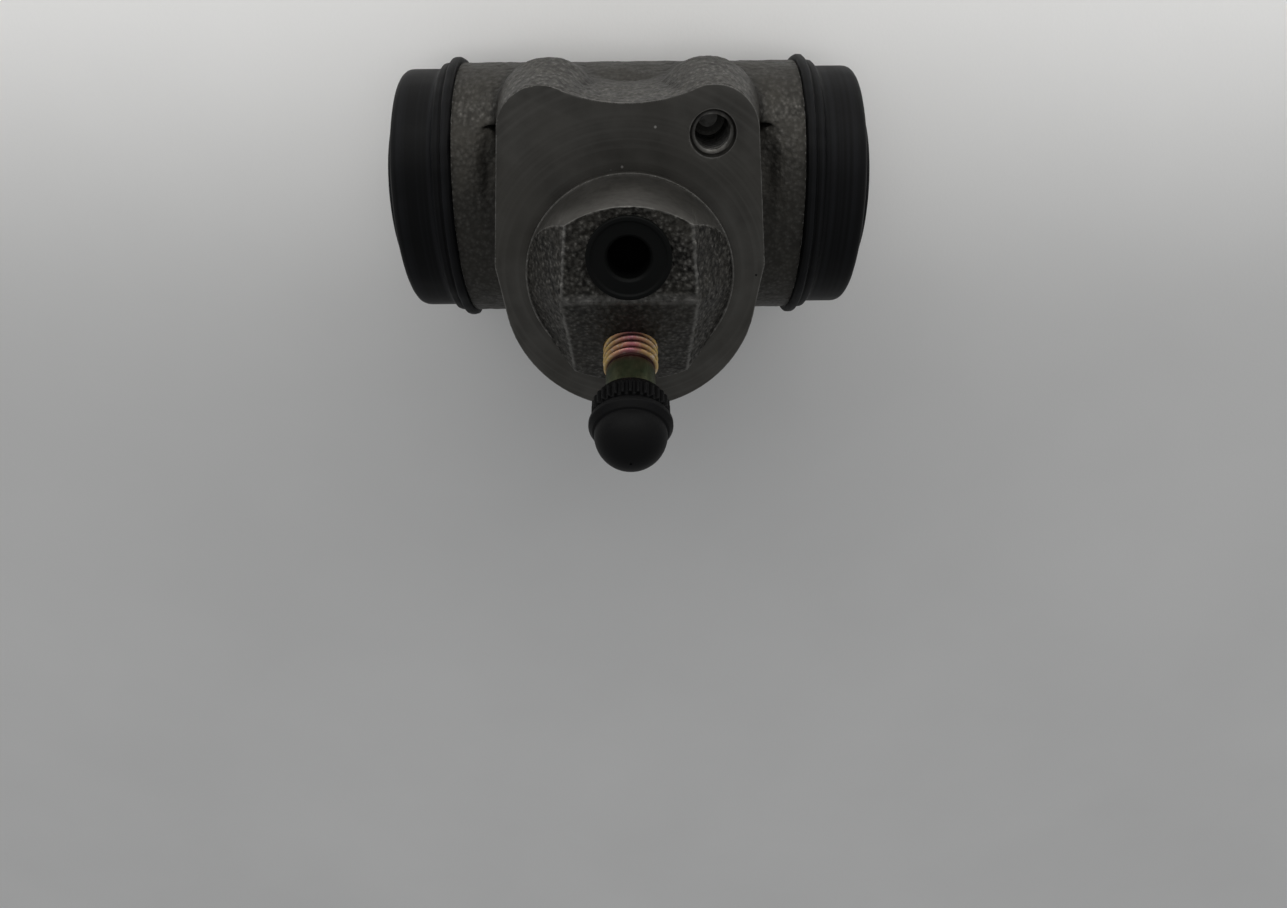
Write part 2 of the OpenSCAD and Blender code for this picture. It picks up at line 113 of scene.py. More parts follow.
def closed_up(obj):
    """Welds the seams and poles of a mesh and turns its faces outwards."""
    bm = bmesh.new()
    bm.from_mesh(obj.data)
    bmesh.ops.remove_doubles(bm, verts=bm.verts, dist=SEAM_WELD * MM)
    bmesh.ops.recalc_face_normals(bm, faces=bm.faces)
    bm.to_mesh(obj.data)
    bm.free()
    return obj


def thinned(obj, most):
    """Collapses the edges that matter least until about that many triangles are left."""
    obj.modifiers.new("thin", "DECIMATE").ratio = min(1.0, most / len(obj.data.polygons))
    thin = obj.evaluated_get(bpy.context.evaluated_depsgraph_get())
    mesh = bpy.data.meshes.new_from_object(thin)
    obj.modifiers.clear()
    obj.data = mesh
    return obj


def shaded(obj, crease_deg):
    obj.data.shade_smooth()
    obj.data.set_sharp_from_angle(angle=math.radians(crease_deg))
    return obj


def rounded(corners, steps=6):
    """Points of a section, from corners (radius, height, rounding); each corner is rounded by a curve."""
    points = []
    for i, (r, h, rounding) in enumerate(corners):
        here = np.array((r, h), float)
        if rounding == 0 or i in (0, len(corners) - 1):
            points.append(here)
            continue
        back = np.array(corners[i - 1][:2]) - here
        ahead = np.array(corners[i + 1][:2]) - here
        long_back, long_ahead = np.linalg.norm(back), np.linalg.norm(ahead)
        back, ahead = back / long_back, ahead / long_ahead
        half = math.acos(np.clip(back @ ahead, -1, 1)) / 2
        reach = min(rounding / math.tan(half), long_back * 0.49, long_ahead * 0.49)
        for t in np.linspace(0, 1, steps + 1):
            points.append(here + back * reach * (1 - t) ** 2 + ahead * reach * t ** 2)
    return np.array(points)


def spread(section, step):
    """Adds points to a section, so that no two are further apart than step."""
    out = [section[0]]
    for a, b in zip(section[:-1], section[1:]):
        count = max(1, math.ceil(np.linalg.norm(b - a) / step))
        out += [a + (b - a) * k / count for k in range(1, count + 1)]
    return np.array(out)


def axes_along(axis):
    """Unit vectors of a lathe's frame: the third lies along axis, the first along +X or +Z."""
    third = np.array(axis, float) / np.linalg.norm(axis)
    first = np.array((1.0, 0, 0)) if abs(third[0]) < 0.5 else np.array((0, 0, 1.0))
    second = np.cross(third, first)
    return np.array((first, second, third))


def grid_faces(rows, columns, loop=False):
    """Faces between rows of points that are closed rings; loop joins the last row to the first."""
    row = np.arange(rows if loop else rows - 1)[:, None]
    column = np.arange(columns)[None, :]
    up, right = (row + 1) % rows, (column + 1) % columns
    corners = [row * columns + column, row * columns + right, up * columns + right, up * columns + column]
    return np.stack(corners, -1).reshape(-1, 4).tolist()


def revolved(name, radius, height, axis, origin, loop=False):
    """Turned piece: radius has a row for each height and a column for each step round the axis."""
    rows, segments = radius.shape
    turn = TAU * np.arange(segments) / segments
    height = np.broadcast_to(np.asarray(height).reshape(rows, -1), radius.shape)
    local = np.stack((radius * np.cos(turn), radius * np.sin(turn), height), -1)
    points = np.asarray(origin) + local.reshape(-1, 3) @ axes_along(axis)
    return closed_up(mesh_object(name, points, grid_faces(rows, segments, loop)))


def turned(section, segments):
    """The radius of each point of a section, repeated round the axis."""
    return np.repeat(section[:, :1], segments, 1)


def waves(points, length, octaves=3):
    """Smooth noise at points in millimetres, about -1 to 1, with waves of about that length."""
    return np.array([noise.fractal(Vector(p) / length, 1.0, 2.0, octaves) for p in points])


def pebbles(points, size):
    """Rounded grains about size millimetres apart, about -0.5 between them to 0.5 on top."""
    return np.array([0.5 - noise.voronoi(Vector(p) / size)[0][0] for p in points])


def fade(distance, near, far):
    """1 up to near, falling smoothly to 0 at far."""
    t = np.clip((distance - near) / (far - near), 0, 1)
    return 1 - t * t * (3 - 2 * t)


def set_values(obj, name, values, domain="POINT"):
    attribute = obj.data.attributes.new(name, "FLOAT", domain)
    attribute.data.foreach_set("value", np.asarray(values, np.float32))


def thread_wave(phase, crest, root):
    """Height of a V thread, 0 to 1, at a phase in pitches; crest and root are the shares that are flat."""
    away = np.abs((phase % 1.0) - 0.5) * 2
    return np.clip((away - root) / (1 - root - crest), 0, 1)


# Material helpers

class Shader:
    """One material and its nodes, with a short way to add a node and join it up."""

    def __init__(self, name):
        self.material = bpy.data.materials.new(name)
        self.material.use_nodes = True
        self.tree = self.material.node_tree
        self.surface = self.tree.nodes["Principled BSDF"]
        self.place = self.tree.nodes.new("ShaderNodeTexCoord").outputs["Object"]

    def plug(self, socket, value):
        if isinstance(value, bpy.types.NodeSocket):
            self.tree.links.new(value, socket)
        else:
            socket.default_value = value

    def add(self, kind, output=0, settings=None, **inputs):
        node = self.tree.nodes.new("ShaderNode" + kind)
        for key, value in (settings or {}).items():
            setattr(node, key, value)
        for key, value in inputs.items():
            self.plug(node.inputs[key.replace("_", " ")], value)
        return node.outputs[output]

    def noise(self, size, detail=3.0, roughness=0.55, where=None):
        """Noise, 0 to 1, whose lumps are about size millimetres across."""
        return self.add("TexNoise", Vector=where or self.place, Scale=1 / (size * MM), Detail=detail,
                        Roughness=roughness)

    def lines(self, coordinate, size, detail=2.0):
        """Noise along one coordinate, in metres, for turning and facing marks."""
        scaled = self.math("MULTIPLY", coordinate, 1 / (size * MM))
        return self.add("TexNoise", settings={"noise_dimensions": "1D"}, W=scaled, Scale=1.0, Detail=detail,
                        Roughness=0.6)

    def grains(self, size, where, smooth=0.6):
        """Rounded grains about size millimetres apart: 0 in the middle of a grain."""
        return self.add("TexVoronoi", settings={"feature": "SMOOTH_F1"}, Vector=where,
                        Scale=1 / (size * MM), Smoothness=smooth)

    def spot(self, place, size):
        """1 at a place in millimetres, falling to 0 at size away."""
        away = self.add("VectorMath", output=1, settings={"operation": "DISTANCE"}, Vector=self.place)
        away.node.inputs[1].default_value = [v * MM for v in place]
        return self.span(away, 0.4 * size * MM, size * MM, 1.0, 0.0)

    def math(self, operation, a, b=0.0):
        node = self.tree.nodes.new("ShaderNodeMath")
        node.operation = operation
        self.plug(node.inputs[0], a)
        self.plug(node.inputs[1], b)
        return node.outputs[0]

    def span(self, value, low, high, to_low=0.0, to_high=1.0):
        """Maps low..high to to_low..to_high, held at the ends."""
        return self.add("MapRange", Value=value, From_Min=low, From_Max=high, To_Min=to_low, To_Max=to_high)

    def mix(self, factor, a, b):
        node = self.tree.nodes.new("ShaderNodeMix")
        node.data_type = "RGBA"
        self.plug(node.inputs[0], factor)
        self.plug(node.inputs[6], a)
        self.plug(node.inputs[7], b)
        return node.outputs[2]

    def ramp(self, factor, stops):
        node = self.tree.nodes.new("ShaderNodeValToRGB")
        self.plug(node.inputs[0], factor)
        ramp = node.color_ramp
        while len(ramp.elements) < len(stops):
            ramp.elements.new(0.5)
        for element, (at, colour) in zip(ramp.elements, stops):
            element.position = at
            element.color = colour
        return node.outputs[0]

    def value(self, name):
        return self.add("Attribute", output="Fac", settings={"attribute_name": name})

    def bump(self, height, depth):
        """Bump of a height from 0 to 1, depth millimetres deep."""
        node = self.tree.nodes.new("ShaderNodeBump")
        node.inputs["Distance"].default_value = depth * MM
        self.plug(node.inputs["Height"], height)
        return node.outputs[0]

    def finish(self, **inputs):
        for key, value in inputs.items():
            self.plug(self.surface.inputs[key.replace("_", " ")], value)
        return self.material


def grey(value, warm=0.0):
    """An opaque colour of that lightness; warm shifts it from blue to brown."""
    return (value * (1 + warm), value, value * (1 - 2 * warm), 1.0)


# Materials

DRAWN_OUT = (1.0, 1.0, 0.5)
NICK_R = 0.24
NICKS = ((-2.5, 15.7, 0.2), (-0.9, 16.1, 0.0), (3.8, 21.5, 0.0))
PIT = (19.0, -0.1, 0.0)


def cast_iron():
    """Oily grey iron: pebbled where it was cast, with circular tool marks where it was machined."""
    s = Shader("cast_iron")
    machined, coarse, painted_highlight, painted_shade = s.value("machined"), s.value("coarse"), s.value("painted_highlight"), s.value("painted_shade")
    split = s.add("SeparateXYZ", Vector=s.place).node
    across = s.math("SQRT", s.math("ADD", s.math("POWER", split.outputs[0], 2.0),
                                   s.math("POWER", split.outputs[1], 2.0)))
    turning = s.math("ADD", across, split.outputs[2])
    marks, wide_marks = s.lines(turning, 0.12), s.lines(turning, 1.1)
    blotch, stain, dirt = s.noise(6.0, 4.0), s.noise(18.0, 2.0), s.noise(1.6, 3.0)
    drawn = s.add("VectorMath", settings={"operation": "MULTIPLY"}, Vector=s.place)
    drawn.node.inputs[1].default_value = DRAWN_OUT
    pebble, fine = s.grains(0.66, drawn), s.noise(0.38, 4.0, 0.62, drawn)
    height = s.math("ADD", s.math("MULTIPLY", s.span(pebble, 0.0, 0.75, 1.0, 0.0), 0.55),
                    s.math("MULTIPLY", fine, 0.75))
    # Both ramps darken the hollows between the grains and lighten their tops: painted shade in the hollows and
    # painted glints on the tops, strongest where the skin is coarse.
    pit_shade_and_glint = s.ramp(height, [(0.42, grey(0.012, 0.06)), (0.68, grey(0.07, 0.05)), (0.98, grey(0.23, 0.04))])
    skin = s.ramp(height, [(0.42, grey(0.035, 0.06)), (0.66, grey(0.053, 0.05)), (0.95, grey(0.085, 0.045))])
    cast_colour = s.mix(s.span(coarse, 0.4, 0.9), skin, pit_shade_and_glint)
    cast_colour = s.mix(s.span(dirt, 0.4, 0.7, 0.0, 0.4), cast_colour, grey(0.045, 0.07))
    cast_colour = s.mix(s.span(blotch, 0.4, 0.7, 0.0, 0.35), cast_colour, grey(0.068, 0.08))
    face_colour = s.mix(s.span(blotch, 0.3, 0.7), grey(0.06, 0.05), grey(0.1, 0.045))
    face_colour = s.mix(s.span(wide_marks, 0.4, 0.7, 0.0, 0.4), face_colour, grey(0.115, 0.04))
    face_colour = s.mix(s.span(stain, 0.45, 0.7, 0.0, 0.5), face_colour, grey(0.055, 0.08))
    for place in NICKS:
        face_colour = s.mix(s.spot(place, NICK_R), face_colour, grey(0.35, 0.03))
    face_colour = s.mix(s.spot(PIT, NICK_R), face_colour, grey(0.008, 0.03))
    colour = s.mix(machined, cast_colour, face_colour)
    # Painted shade: darkens the reliefs beside the pad, the corners between cast forms and the roots of the fixing
    # hole's thread.
    colour = s.mix(s.math("MULTIPLY", painted_shade, 0.85), colour, grey(0.007, 0.06))
    # Painted highlights: lighter along the edges, on the pilot's base circle, on the lobe walls that face the
    # light, and on the fixing hole's floor and thread crests.
    highlight_share = s.math("MULTIPLY", s.math("POWER", painted_highlight, 1.6), s.span(s.noise(1.1, 3.0), 0.3, 0.6, 0.2, 0.85))
    colour = s.mix(highlight_share, colour, grey(0.3, 0.03))
    rough_cast = s.bump(s.math("MULTIPLY", height, coarse), 0.22)
    tool_marks = s.bump(s.math("ADD", marks, s.math("MULTIPLY", wide_marks, 0.6)), 0.006)
    normal = s.add("Mix", output=1, settings={"data_type": "VECTOR"})
    s.plug(normal.node.inputs[0], machined)
    s.plug(normal.node.inputs[4], rough_cast)
    s.plug(normal.node.inputs[5], tool_marks)
    rough = s.math("ADD", s.math("MULTIPLY", machined, -0.1), s.span(blotch, 0.3, 0.7, 0.5, 0.6))
    return s.finish(Base_Color=colour, Metallic=0.85, Roughness=rough, Normal=normal)


def rubber(name, base, roughness, grain, flow=0.0):
    """Moulded black rubber with faint bloom and dust; flow is the strength of the smears round the bore."""
    s = Shader(name)
    bloom, dust, skin = s.noise(9.0, 3.0), s.noise(0.4, 2.0, 0.7), s.noise(0.25, 3.0, 0.6)
    r, g, b = base
    colour = s.mix(s.span(bloom, 0.35, 0.75), (r, g, b, 1), (r * 1.7, g * 1.7, b * 1.65, 1))
    colour = s.mix(s.span(dust, 0.72, 0.84, 0.0, 0.35), colour, (r * 20, g * 20, b * 19, 1))
    smear = s.span(s.lines(s.add("SeparateXYZ", Vector=s.place), 1.6), 0.45, 0.65, 0.0, flow)
    colour = s.mix(s.math("MULTIPLY", smear, bloom), colour, (r * 7, g * 7, b * 7.2, 1))
    # Painted shade: near black and fully rough where the deep attribute is set, inside a hole.
    colour = s.mix(s.value("deep"), colour, (r * 0.1, g * 0.1, b * 0.1, 1))
    rough = s.math("MAXIMUM", s.span(bloom, 0.3, 0.75, roughness, roughness + 0.14), s.value("deep"))
    return s.finish(Base_Color=colour, Roughness=rough, Normal=s.bump(skin, grain), Specular_IOR_Level=0.11)


def yellow_zinc():
    """Yellow passivated zinc: gold with pink on the thread, olive on the plain shank."""
    s = Shader("yellow_zinc")
    thread, crest = s.value("thread"), s.value("crest")
    tint, fleck_and_glint = s.noise(2.4, 2.0), s.noise(0.45, 3.0)
    # Painted sheen: the thread is pink in the middle and gold towards its sides, by distance across x.
    side = s.math("ABSOLUTE", s.add("SeparateXYZ", Vector=s.place))
    hue = s.math("ADD", s.span(side, 0.0, SCREW_R * MM, 0.0, 0.55), s.math("MULTIPLY", tint, 0.6))
    gold = s.ramp(hue, [(0.25, (0.66, 0.25, 0.31, 1)), (0.45, (0.72, 0.32, 0.26, 1)),
                        (0.62, (0.68, 0.41, 0.19, 1)), (0.85, (0.7, 0.5, 0.18, 1))])
    # Painted glints: light flecks on the thread.
    gold = s.mix(s.span(fleck_and_glint, 0.52, 0.7, 0.0, 0.75), gold, (0.8, 0.68, 0.6, 1))
    # Painted shade: dark in the thread's roots.
    gold = s.mix(s.span(crest, 0.15, 0.8), (0.035, 0.014, 0.012, 1), gold)
    olive = s.mix(s.span(tint, 0.35, 0.7), (0.055, 0.072, 0.037, 1), (0.1, 0.1, 0.055, 1))
    colour = s.mix(thread, olive, gold)
    return s.finish(Base_Color=colour, Metallic=0.85, Roughness=s.span(fleck_and_glint, 0.3, 0.8, 0.3, 0.46),
                    Normal=s.bump(fleck_and_glint, 0.012))


def bright_metal(name, colour, mark_size):
    """Turned or drawn metal with fine marks across the bore's axis."""
    s = Shader(name)
    marks = s.lines(s.add("SeparateXYZ", Vector=s.place), mark_size)
    film = s.noise(5.0, 3.0)
    r, g, b = colour
    tone = s.mix(s.span(film, 0.3, 0.75), (r, g, b, 1), (r * 0.72, g * 0.72, b * 0.74, 1))
    return s.finish(Base_Color=tone, Metallic=0.95, Roughness=s.span(marks, 0.3, 0.7, 0.28, 0.42),
                    Normal=s.bump(marks, 0.006))


# Where the floor's painted light starts and where it is full, along Y
FLOOR_NEAR = -20.0
FLOOR_FAR = 110.0


def pale_floor():
    s = Shader("pale_floor")
    cloud = s.noise(60.0, 3.0)
    weave = s.noise(0.6, 2.0)
    split = s.add("SeparateXYZ", Vector=s.place).node
    # Painted light: the floor is painted lighter further towards +Y, where the window is.
    far = s.span(split.outputs[1], FLOOR_NEAR * MM, FLOOR_FAR * MM)
    near_colour = s.mix(s.span(cloud, 0.3, 0.7), grey(0.76, 0.006), grey(0.8, 0.006))
    colour = s.mix(far, near_colour, grey(0.96, 0.006))
    return s.finish(Base_Color=colour, Roughness=0.75, Normal=s.bump(weave, 0.02))


# The casting

# The mesh: longest edges by place, how far from a crease they grow to that, and limits of the whole
CAST_EDGE = 0.66
BOSS_EDGE = 0.42
UNDER_EDGE = 1.4
FACE_EDGE = 3.0
PLAIN_EDGE = 5.0
FINE_EDGE = 0.28
EDGE_GROWTH = 0.5
CAST_REACH = 0.8
FACE_REACH = 4.0
LEAD_SHARE = 0.7
CREASE_DEG = 25
CAST_TRIANGLES = 190000
GRID_HALF = 1024
# Forms of the body
BARREL_R = 20.0
BOSS_FROM = 0.5
RELIEF_X = 21.9
RELIEF_IN = 2.4
RELIEF_OUT = 0.5
RELIEF_DEEP = 3
RELIEF_TOP = 19.4
UNDER_PAD = -0.5
LAND_STEP = 0.3
PORT_MOUTH_R = 5.21
BLEEDER_HOLE_R = 4.01
HOLE_DEEP = 15.0
HOLE_RIM = 1.0
BORE_RIM = 1.3
THREAD_ROOM_R = 3.2
# Components of a normal: faces that lie square to a direction, and ranges over which a form fades in
PAD_UP = 0.9
SQUARE = 0.97
FLANK_ACROSS = 0.4
FACET_DOWN = (-0.62, -0.42)
LOBE_UP = (-0.75, -0.35)
# Rounding: how far from an edge it reaches, how often it is done and the share each time
FILLET_REACH = 2.8
FILLET_ROUNDS = 40
MELT_ROUNDS = 60
SOFT_REACH = 0.9
SOFT_ROUNDS = 8
ROUNDING_SHARE = 0.5
ROUNDING_CORE = 0.1
BLUNTED = 0.06
# Upper ends of the reliefs: share of the depth that goes, and how far below the top it is full and none
RUN_OUT = 0.8
RUN_OUT_FULL = 1.0
RUN_OUT_NONE = 7.0
# Roughness of the cast skin
PLAIN_COARSE = 0.4
LOBE_COARSE = 0.35
FACET_SMOOTH = 0.45
LOBE_FROM = 8
LOBE_DEEP = 20.0
LONG_WAVE = 3.2
LONG_WAVE_H = 0.08
SHORT_WAVE = 0.95
SHORT_WAVE_H = 0.06
PEBBLE = 0.9
PEBBLE_H = 0.26
FLANK_PEBBLE_H = 0.42
# Painted highlights and painted shade: strengths from 0 to 1, and how far from an edge they reach
BROW = 1.5
BROW_CORE = 0.4
BROW_TOP = 2
BROW_ALONG = 0.8
BROW_HIGHLIGHT = 0.6
RIDGE = (0.1, 0.55)
RIDGE_HIGHLIGHT = 0.8
PILOT_HIGHLIGHT = 0.42
LOBE_HIGHLIGHT = 0.2
BAND_SHADE = 0.4
CREVICE = 2.4
CREVICE_SHADE = 0.55


def solid_mesh(node):
    """Points, in millimetres, and triangles of a CAD solid."""
    bm = bmesh.new()
    bm.from_mesh(frame["nodes"][node].data)
    bmesh.ops.remove_doubles(bm, verts=bm.verts, dist=SOLID_WELD * MM)
    bmesh.ops.triangulate(bm, faces=bm.faces)
    points = np.array([v.co for v in bm.verts]) / MM
    triangles = np.array([[v.index for v in f.verts] for f in bm.faces])
    bm.free()
    return points, triangles


def edge_table(triangles, count):
    """Edges of a mesh, and the numbers of each triangle's three edges."""
    pairs = np.sort(triangles[:, [0, 1, 1, 2, 2, 0]].reshape(-1, 2), axis=1)
    keys, number = np.unique(pairs[:, 0] * count + pairs[:, 1], return_inverse=True)
    return np.stack((keys // count, keys % count), 1), number.reshape(-1, 3)


def split_triangles(points, triangles, new):
    """Cuts triangles at new points on their edges: new has a point's number, or -1, for each edge."""
    def starting_at(chosen, first):
        order = (first[:, None] + np.arange(3)) % 3
        return np.take_along_axis(triangles[chosen], order, 1).T, np.take_along_axis(new[chosen], order, 1).T

    cuts = (new >= 0).sum(1)
    out = [triangles[cuts == 0]]
    one = cuts == 1
    (a, b, c), (m, _, _) = starting_at(one, np.argmax(new[one] >= 0, 1))
    out += [np.stack(t, 1) for t in ((a, m, c), (m, b, c))]
    two = cuts == 2
    (a, b, c), (m, n, _) = starting_at(two, np.argmax(new[two] < 0, 1) + 1)
    short = np.linalg.norm(points[a] - points[n], axis=1) < np.linalg.norm(points[m] - points[c], axis=1)
    out += [np.stack(t, 1) for t in ((m, b, n), (a, m, np.where(short, n, c)), (np.where(short, a, m), n, c))]
    three = cuts == 3
    a, b, c = triangles[three].T
    m, n, o = new[three].T
    out += [np.stack(t, 1) for t in ((a, m, o), (m, b, n), (o, n, c), (m, n, o))]
    return np.concatenate(out)


def refined(points, triangles, shortest, longest):
    """Halves edges, the longest first, while any is over shortest and over longest's value at its middle."""
    while True:
        edges, number = edge_table(triangles, len(points))
        ends = points[edges]
        middle = ends.mean(1)
        length = np.linalg.norm(ends[:, 1] - ends[:, 0], axis=1)
        long = length > shortest
        long[long] = length[long] > longest(middle[long])
        if not long.any():
            return points, triangles
        sides = np.where(long, length, 0)[number]
        lead = np.zeros(len(edges), bool)
        lead[number[sides > LEAD_SHARE * sides.max(1, keepdims=True)]] = True
        new = np.full(len(edges), -1)
        new[lead] = len(points) + np.arange(lead.sum())
        points = np.concatenate((points, middle[lead]))
        triangles = split_triangles(points, triangles, new[number])


def area_vectors(points, triangles):
    """Normals of triangles, each twice as long as its triangle's area."""
    a, b, c = (points[triangles[:, k]] for k in range(3))
    return np.cross(b - a, c - a)


def unit(vectors):
    return vectors / np.maximum(np.linalg.norm(vectors, axis=1), 1e-12)[:, None]


def face_normals(points, triangles):
    return unit(area_vectors(points, triangles))


def point_normals(points, triangles):
    face = area_vectors(points, triangles)
    normal = np.zeros_like(points)
    for k in range(3):
        for j in range(3):
            normal[:, j] += np.bincount(triangles[:, k], face[:, j], len(points))
    return unit(normal)


def sharp_edges(points, triangles):
    """Edges where a mesh turns, with the two triangles at each and whether it stands out."""
    edges, number = edge_table(triangles, len(points))
    pairs = np.argsort(number.ravel(), kind="stable").reshape(-1, 2) // 3
    normal = face_normals(points, triangles)
    one, two = normal[pairs[:, 0]], normal[pairs[:, 1]]
    sharp = (one * two).sum(1) < math.cos(math.radians(CREASE_DEG))
    across = points[triangles[pairs[:, 1]]].mean(1) - points[edges].mean(1)
    convex = (across * one).sum(1) < 0
    return edges[sharp], pairs[sharp], convex[sharp]


def cells(points, size, shift=(0, 0, 0)):
    """Number of the cell of a grid in which each point lies, moved by a shift."""
    i, j, k = (np.floor(points / size).astype(int) + shift + GRID_HALF).T
    return (i * 2 * GRID_HALF + j) * 2 * GRID_HALF + k


def distance_to(points, targets, reach):
    """Distance of each point from the nearest target, or reach where none is that near."""
    out = np.full(len(points), float(reach))
    tree = KDTree(max(1, len(targets)))
    for i, p in enumerate(targets):
        tree.insert(p, i)
    tree.balance()
    around = [cells(targets, reach, shift) for shift in itertools.product((-1, 0, 1), repeat=3)]
    near = np.isin(cells(points, reach), np.unique(np.concatenate(around)))
    out[near] = [min(reach, tree.find(p)[2]) for p in points[near]]
    return out


def neighbour_mean(points, edges):
    count = np.bincount(edges.ravel(), minlength=len(points))
    sums = [np.bincount(edges[:, 0], points[edges[:, 1], k], len(points))
            + np.bincount(edges[:, 1], points[edges[:, 0], k], len(points)) for k in range(3)]
    return np.stack(sums, 1) / count[:, None]


def bleeder_distance(points):
    """Distance of points from the bleed screw's axis."""
    away = points - BLEEDER
    along = away @ BLEEDER_AXIS
    return np.linalg.norm(away - along[:, None] * BLEEDER_AXIS, axis=1)


def inside_holes(points):
    """Whether points lie in the bore or a hole or on a spigot, where nothing fine shows."""
    x, y, z = points.T
    fixing = (np.hypot(x - FIXING[0], y - FIXING[1]) < FIXING_R + HOLE_RIM) & (z < -TINY) & (z > -HOLE_DEEP)
    port = np.hypot(x - PORT[0], y - PORT[1]) < PORT_MOUTH_R
    bleed = bleeder_distance(points) < BLEEDER_HOLE_R
    bore = np.hypot(y - BORE[1], z - BORE[2]) < BORE_R + BORE_RIM
    return fixing | port | bleed | bore | (np.abs(x) > BARREL_END - 2 * TINY)


def machined_faces(middle, normal):
    """Whether each face was cut by a tool, from its middle and its normal."""
    x, y, z = middle.T
    across = np.hypot(x, y)
    outward = (x * normal[:, 0] + y * normal[:, 1]) / across
    pad = (np.abs(z) < 0.05) & (normal[:, 2] > PAD_UP)
    pilot = (np.abs(across - PILOT_R) < LAND_STEP) & (z > 0) & ((outward > SQUARE) | (normal[:, 2] > SQUARE))
    return pad | pilot | inside_holes(middle)


def on_boss(points):
    return (np.hypot(points[:, 0], points[:, 1]) < PILOT_R + 0.1) & (points[:, 2] > BOSS_FROM)


def run_out(points):
    """Moves that lift the reliefs' floors towards their upper ends, where they run out shallow."""
    x, y, z = points.T
    out = points * (0, 1, 1) - BORE
    radius = np.linalg.norm(out, axis=1)
    sunk = (np.abs(x) > RELIEF_X - RELIEF_IN) & (np.abs(x) < RELIEF_X + RELIEF_OUT)
    sunk = sunk & (z > BORE[2]) & (z < UNDER_PAD) & (radius > BARREL_R - RELIEF_DEEP) & (radius < BARREL_R)
    upper = fade(-y, RUN_OUT_FULL - RELIEF_TOP, RUN_OUT_NONE - RELIEF_TOP)
    lift = RUN_OUT * sunk * upper * (BARREL_R - radius)
    return out * (lift / np.maximum(radius, TINY))[:, None]


def crease_points(points, triangles):
    """Points along the edges where a mesh turns, FINE_EDGE apart or less."""
    edges, _, _ = sharp_edges(points, triangles)
    ends = points[edges]
    length = np.linalg.norm(ends[:, 1] - ends[:, 0], axis=1)
    steps = np.maximum(1, np.ceil(length / FINE_EDGE)).astype(int)
    return np.concatenate([a + (b - a) * np.linspace(0, 1, n + 1)[:, None] for (a, b), n in zip(ends, steps)])


def edge_limit(middle, creases):
    """Longest edge wanted at each place: fine by creases and on the boss, coarse in holes and underneath."""
    face = np.abs(middle[:, 2]) < TINY
    cast = np.where(middle[:, 2] < BORE[2], UNDER_EDGE, CAST_EDGE)
    limit = np.where(face, FACE_EDGE, np.where(on_boss(middle), BOSS_EDGE, cast))
    for group, reach in ((face, FACE_REACH), (~face, CAST_REACH)):
        away = distance_to(middle[group], creases, reach)
        fine = np.minimum(limit[group], FINE_EDGE + EDGE_GROWTH * away)
        limit[group] = np.where(away < reach, fine, limit[group])
    return np.where(inside_holes(middle), PLAIN_EDGE, limit)


def melted(points, triangles, held, passes):
    """Draws points near cast edges to the mean of their neighbours; passes are (reach, rounds, distances)."""
    edges, _ = edge_table(triangles, len(points))
    for reach, rounds, distance in passes:
        share = ROUNDING_SHARE * fade(distance, ROUNDING_CORE, reach) * ~held
        for _ in range(rounds):
            points = points + (neighbour_mean(points, edges) - points) * share[:, None]
    return points


def brow_distance(points, edges):
    """Distance from those of the edges that run across the top of the boss."""
    ends = points[edges]
    across = np.abs(ends[:, 1, 0] - ends[:, 0, 0])
    along = across > BROW_ALONG * np.linalg.norm(ends[:, 1] - ends[:, 0], axis=1)
    top = ends.mean(1)[:, 2] > BOSS_TOP - BROW_TOP
    return distance_to(points, points[edges[along & top].ravel()], BROW)


def thread_room(points, smooth):
    """Widens the fixing hole, found on the smooth points, to leave room for its thread."""
    x, y, z = smooth.T
    in_hole = np.hypot(x - FIXING[0], y - FIXING[1])
    wall = (in_hole < THREAD_ROOM_R) & (in_hole > FIXING_R - 0.1) & (z < -0.02) & (z > -HOLE_DEEP)
    for k in range(2):
        out = (points[:, k] - FIXING[k]) * THREAD_ROOM_R / np.maximum(in_hole, TINY)
        points[:, k] = np.where(wall, FIXING[k] + out, points[:, k])
    return points


def painted_shade_at(points, corner):
    """Painted shade in the reliefs beside the pad and in the corners between cast forms."""
    x, y, z = points.T
    side = np.abs(x)
    beside = fade(side, RELIEF_X - 0.1, RELIEF_X + 0.9) * (side > RELIEF_X - 4) * (z < UNDER_PAD)
    band = BAND_SHADE * beside * fade(y, RELIEF_TOP - 2.0, RELIEF_TOP) * fade(-y, -7.0, -1.0)
    open_to = fade(band, 0.0, 0.2) * (np.abs(side - RELIEF_X) > 1.2)
    return np.maximum(CREVICE_SHADE * fade(corner, 0.0, CREVICE) * open_to, band)


